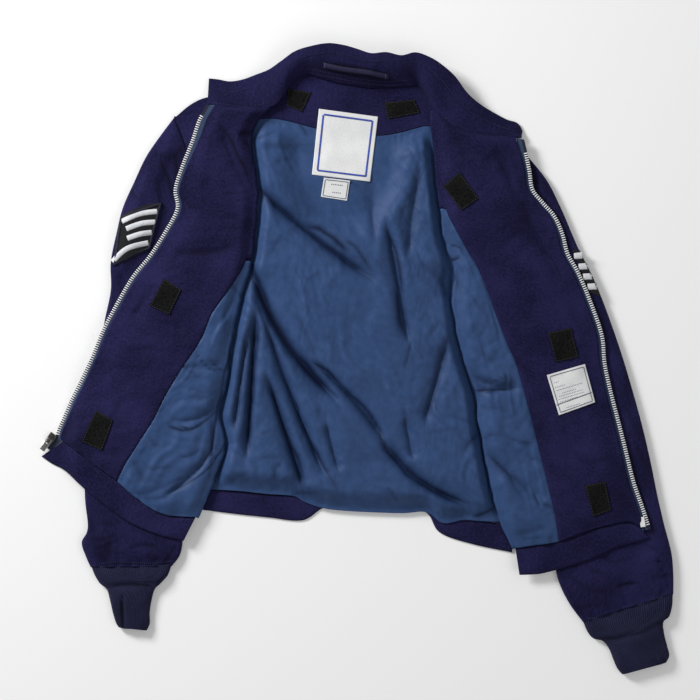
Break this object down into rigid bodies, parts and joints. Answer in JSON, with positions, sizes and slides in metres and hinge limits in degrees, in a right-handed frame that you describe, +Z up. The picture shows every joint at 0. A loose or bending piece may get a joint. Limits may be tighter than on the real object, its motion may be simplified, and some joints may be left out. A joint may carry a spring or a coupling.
{
  "type": "field jacket",
  "caption": "Waist-length field jacket laid open on its back, fronts turned outward inside up, with rib cuffs, stand collar, lining and open zip.",
  "frame": {"origin": "on the surface under the middle of the laid-out jacket", "axes": "+Z up from the surface, +Y towards the collar, +X towards the viewer's right when seen from above with the collar away"},
  "size_m": [0.7593, 0.7548, 0.0294],
  "materials": {
    "twill": "matt cotton twill",
    "lining": "lightly shining plain weave",
    "rib_knit": "matt rib knit",
    "zip_tape": "matt woven tape",
    "zip_metal": "satin",
    "hook_and_loop": "matt pile",
    "woven_label": "matt satin weave",
    "patch": "matt embroidery"
  },
  "bodies": {
    "jacket": {"back_shell": "twill", "shoulder_facing": "twill", "back_lining": "lining", "front_left_shell": "twill", "front_left_facing": "twill", "front_left_lining": "lining", "front_right_shell": "twill", "front_right_facing": "twill", "front_right_lining": "lining", "hem_band_left": "twill", "hem_band_back": "twill", "hem_band_right": "twill", "sleeve_left": "twill", "sleeve_right": "twill", "cuff_left": "rib_knit", "cuff_right": "rib_knit", "collar": "twill", "hanger_loop": "twill", "zip_tape_left": "zip_tape", "zip_tape_right": "zip_tape", "zip_slider": "zip_metal", "zip_box": "zip_metal", "zip_pin": "zip_metal", "pad_neck_left": "hook_and_loop", "pad_neck_right": "hook_and_loop", "pad_left_upper": "hook_and_loop", "pad_left_lower": "hook_and_loop", "pad_right_upper": "hook_and_loop", "pad_right_middle": "hook_and_loop", "pad_right_lower": "hook_and_loop", "label_main": "woven_label", "label_size": "woven_label", "label_care": "woven_label", "sleeve_patch_left": "patch", "sleeve_patch_right": "patch"},
    "pull_tab": {"zip_pull_tab": "zip_metal"}
  },
  "joints": [
    {"name": "pull_tab_hinge", "type": "hinge", "parent": "jacket", "child": "pull_tab", "pos_m": [-0.36971, -0.09541, 0.0062], "axis": [-0.809, 0.5878, 0], "range_deg": [0, 150]}
  ]
}
